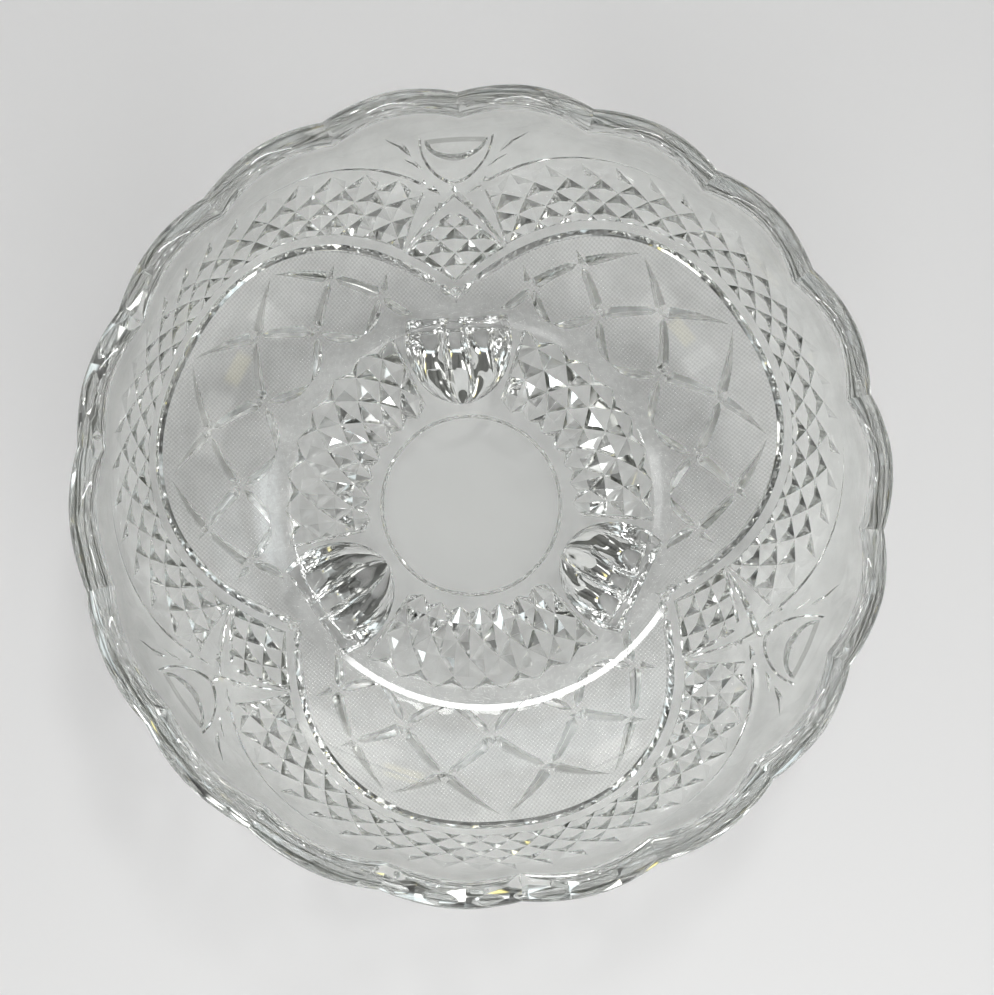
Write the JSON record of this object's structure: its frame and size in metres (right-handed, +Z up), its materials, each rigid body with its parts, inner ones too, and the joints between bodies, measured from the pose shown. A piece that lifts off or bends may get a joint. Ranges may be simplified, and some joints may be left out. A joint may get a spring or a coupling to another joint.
{
  "type": "sugar bowl",
  "caption": "Open footed sugar bowl of clear pressed glass, with a scalloped rim, a smooth inside, and rings, lens cuts and diamond points pressed into the outside.",
  "frame": {"origin": "centre of the circle that the three feet stand on, in the plane they stand on", "axes": "+Z up along the bowl's axis, +Y towards the front foot, +X to the right of it seen from above"},
  "size_m": [0.1306, 0.1298, 0.0484],
  "materials": {
    "bowl_glass": "clear, fire-polished",
    "foot_glass": "clear, fire-polished"
  },
  "bodies": {
    "root": {"bowl": "bowl_glass", "foot_front": "foot_glass", "foot_right": "foot_glass", "foot_left": "foot_glass"}
  },
  "joints": []
}
